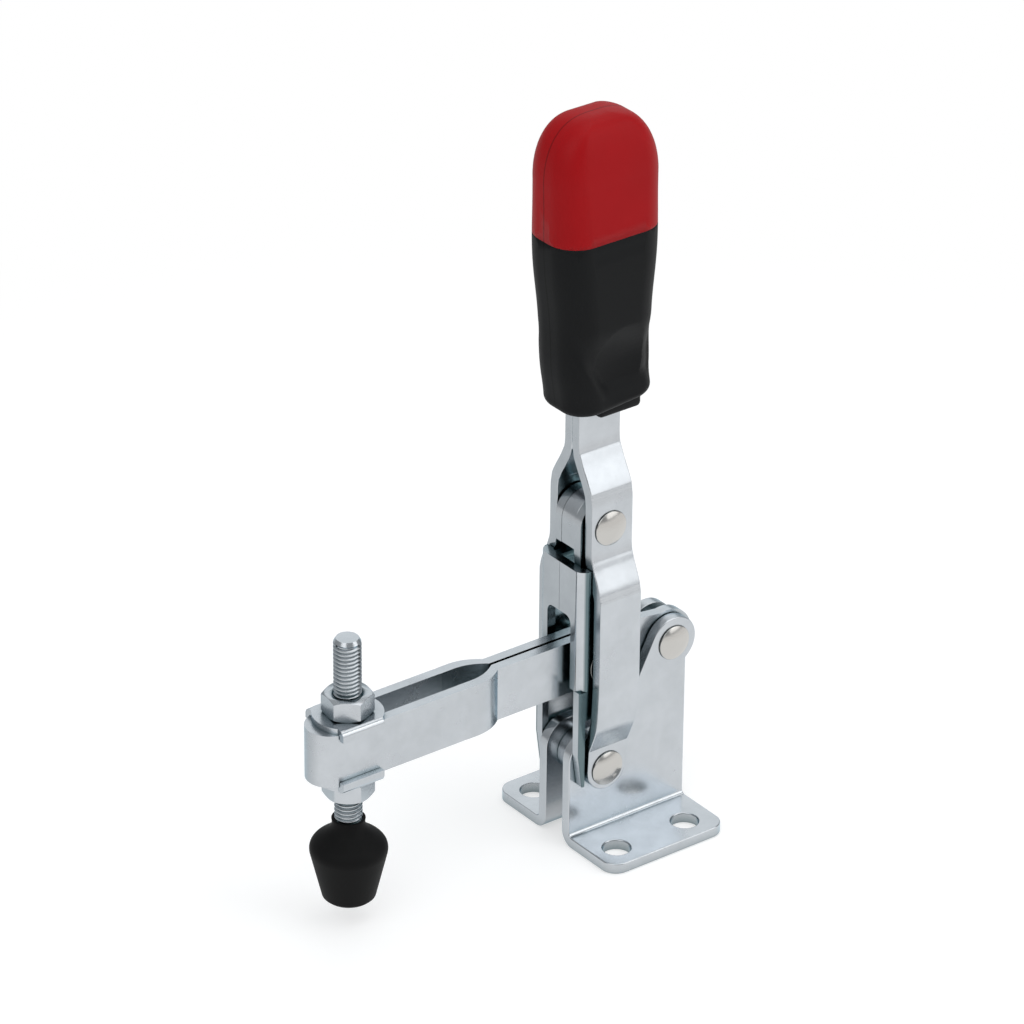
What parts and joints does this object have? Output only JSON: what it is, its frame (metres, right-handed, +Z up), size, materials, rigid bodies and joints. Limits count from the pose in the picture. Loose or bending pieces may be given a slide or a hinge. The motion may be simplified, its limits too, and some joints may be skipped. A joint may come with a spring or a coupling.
{
  "type": "toggle clamp",
  "caption": "Vertical toggle clamp on a flat flanged foot: an upright lever with a moulded grip, a riveted over-centre linkage and an open arm with an adjustable rubber-tipped spindle.",
  "frame": {"origin": "centre of the four-hole pattern on the underside of the base", "axes": "+X from the base to the clamping pad, +Y to the left, +Z up along the closed lever"},
  "size_m": [0.1326, 0.056, 0.2296],
  "materials": {
    "zinc_steel": "bright zinc plate with a faint blue tint",
    "stainless": "polished stainless rivet heads",
    "grip_black": "fine-grained moulded plastic",
    "grip_red": "fine-grained moulded plastic",
    "rubber": "moulded rubber"
  },
  "bodies": {
    "base": {"base_bracket_left": "zinc_steel", "base_bracket_right": "zinc_steel", "front_pivot_bush": "zinc_steel", "front_washer_left": "zinc_steel", "front_washer_right": "zinc_steel", "front_pivot_rivet": "stainless", "rear_pivot_bush": "zinc_steel", "rear_pivot_rivet": "stainless"},
    "handle": {"handle_plate_left": "zinc_steel", "handle_plate_right": "zinc_steel", "handle_rivet": "stainless", "grip_body": "grip_black", "grip_cap": "grip_red"},
    "link": {"link_plate_left": "zinc_steel", "link_plate_right": "zinc_steel", "link_spacer": "zinc_steel", "arm_rivet": "stainless", "arm_collar_left": "zinc_steel", "arm_collar_right": "zinc_steel"},
    "arm": {"clamp_arm": "zinc_steel", "flanged_washer_upper": "zinc_steel", "flanged_washer_lower": "zinc_steel", "lock_nut_upper": "zinc_steel", "lock_nut_lower": "zinc_steel", "spindle": "zinc_steel", "pad": "rubber"}
  },
  "joints": [
    {"name": "lever_pivot", "type": "hinge", "parent": "base", "child": "handle", "pos_m": [0.0098, 0, 0.025], "axis": [0, -1, 0], "range_deg": [0, 60]},
    {"name": "link_pivot", "type": "hinge", "parent": "handle", "child": "link", "pos_m": [0.0089, 0, 0.1027], "axis": [0, -1, 0], "range_deg": [0, 56]},
    {"name": "arm_pivot", "type": "hinge", "parent": "base", "child": "arm", "pos_m": [-0.0172, 0, 0.0555], "axis": [0, -1, 0], "range_deg": [0, 85]}
  ],
  "couplings": [
    {"joint": "link_pivot", "follows": "lever_pivot", "ratio": 0.93},
    {"joint": "arm_pivot", "follows": "lever_pivot", "ratio": 1.4}
  ]
}
